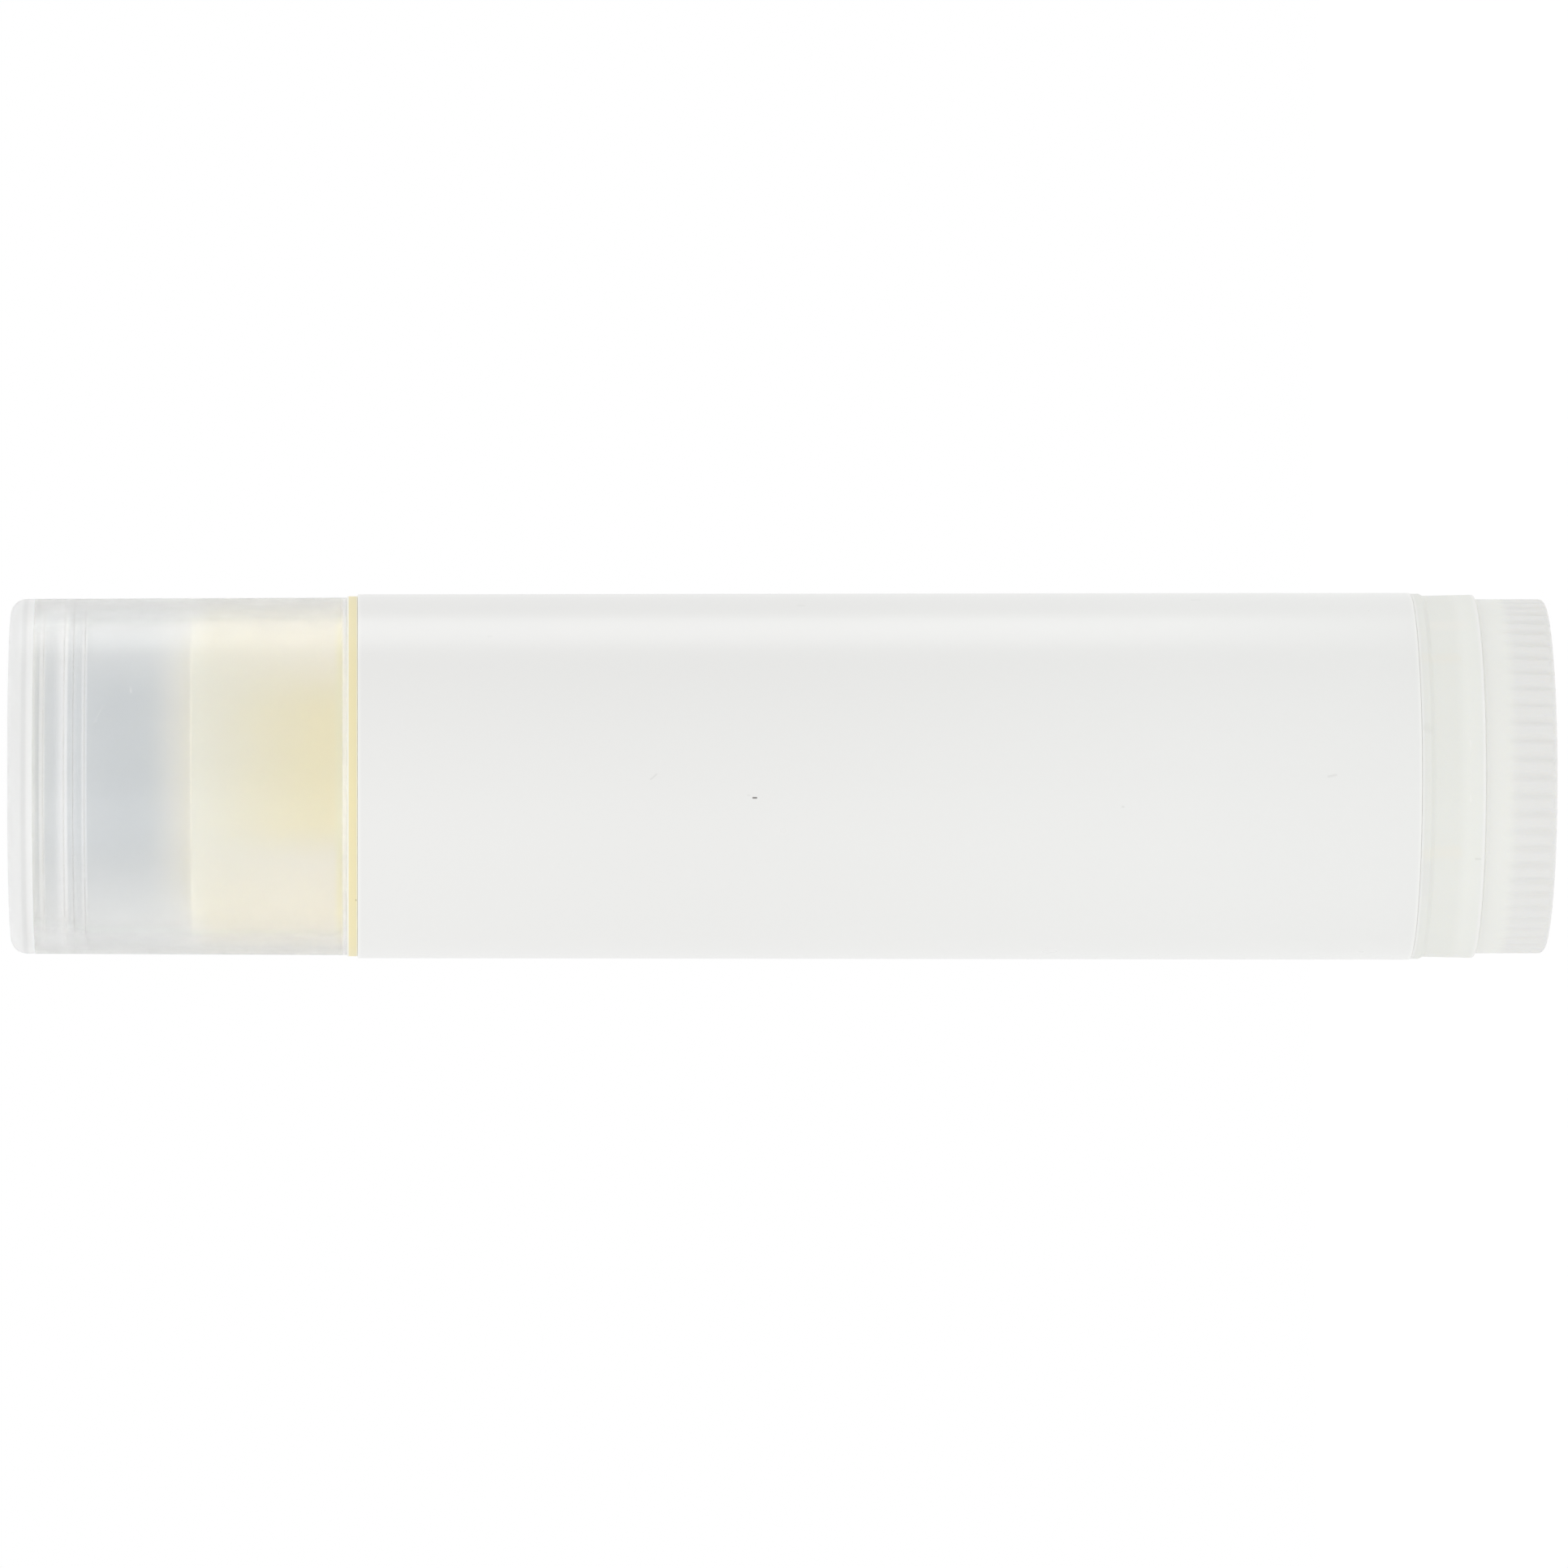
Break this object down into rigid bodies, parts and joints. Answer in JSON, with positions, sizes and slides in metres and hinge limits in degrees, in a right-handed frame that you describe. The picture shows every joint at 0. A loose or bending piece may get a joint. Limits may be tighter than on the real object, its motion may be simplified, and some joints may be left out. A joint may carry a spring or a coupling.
{
  "type": "lip balm",
  "caption": "Twist-up lip balm: round barrel with a blank wrap label, translucent pull-off cap, ribbed dial with drive screw, elevator and pale yellow stick.",
  "frame": {"origin": "centre of the dial's end face, which it stands on", "axes": "+Z along the barrel's axis, from the dial up to the cap; the label's overlap is at -X +Y"},
  "size_m": [0.0162, 0.0162, 0.0674],
  "materials": {
    "frosted_plastic": "frosted natural polypropylene",
    "clear_frosted_plastic": "clear polypropylene with a light frost",
    "label_film": "white film, satin gloss, blank",
    "balm": "smooth beeswax balm"
  },
  "bodies": {
    "tube": {"barrel": "frosted_plastic", "label": "label_film"},
    "cap": {"cap": "clear_frosted_plastic"},
    "dial": {"dial_screw": "frosted_plastic"},
    "carriage": {"elevator": "frosted_plastic", "balm": "balm"}
  },
  "joints": [
    {"name": "cap_pull", "type": "slide", "parent": "tube", "child": "cap", "axis": [0, 0, 1], "range_m": [0, 0.025]},
    {"name": "dial_turn", "type": "hinge", "parent": "tube", "child": "dial", "pos_m": [0, 0, 0], "axis": [0, 0, 1], "range_deg": [0, 792]},
    {"name": "elevator_lift", "type": "slide", "parent": "tube", "child": "carriage", "axis": [0, 0, 1], "range_m": [0, 0.0066]}
  ],
  "couplings": [
    {"joint": "dial_turn", "follows": "elevator_lift", "rad_per_m": 2094.4}
  ]
}
